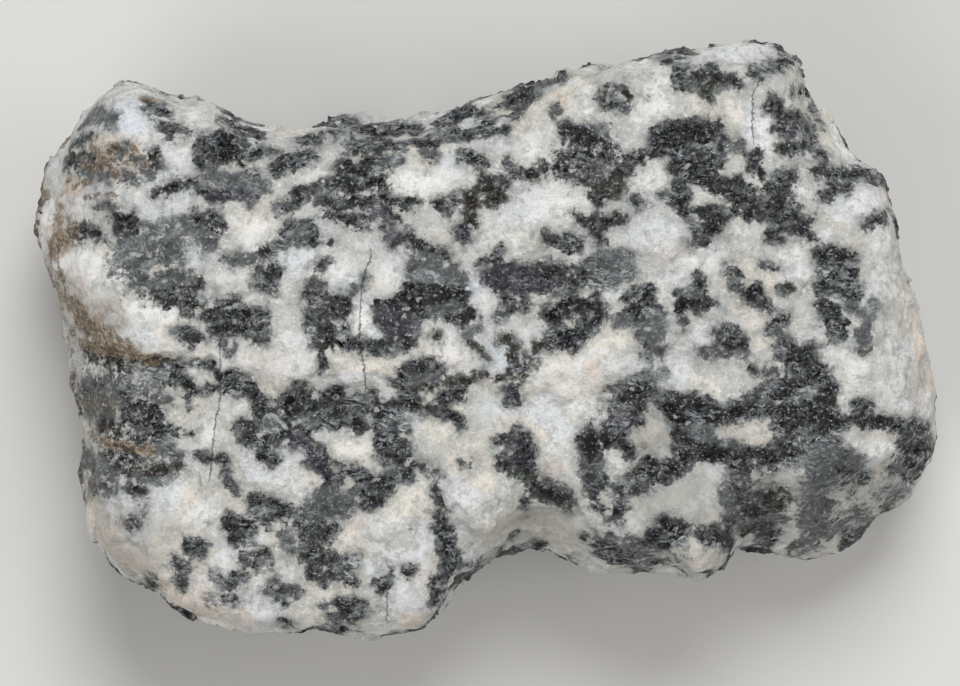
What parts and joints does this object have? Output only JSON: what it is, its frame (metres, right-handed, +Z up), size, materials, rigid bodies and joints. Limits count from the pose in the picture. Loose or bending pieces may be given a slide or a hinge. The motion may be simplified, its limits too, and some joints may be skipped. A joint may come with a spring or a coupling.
{
  "type": "diorite specimen",
  "caption": "Hand specimen of diorite: a flat-lying broken block of coarse black and white speckled igneous rock, for display or study.",
  "frame": {"origin": "middle of the footprint's bounding box, on the level that the stone rests on", "axes": "+X along the stone's length, +Y across its width, +Z up through its thickness to the broken face that is displayed"},
  "size_m": [0.1142, 0.0752, 0.0352],
  "materials": {
    "diorite": "rough broken surface, coarse black and white crystals"
  },
  "bodies": {
    "root": {"diorite_stone": "diorite"}
  },
  "joints": []
}
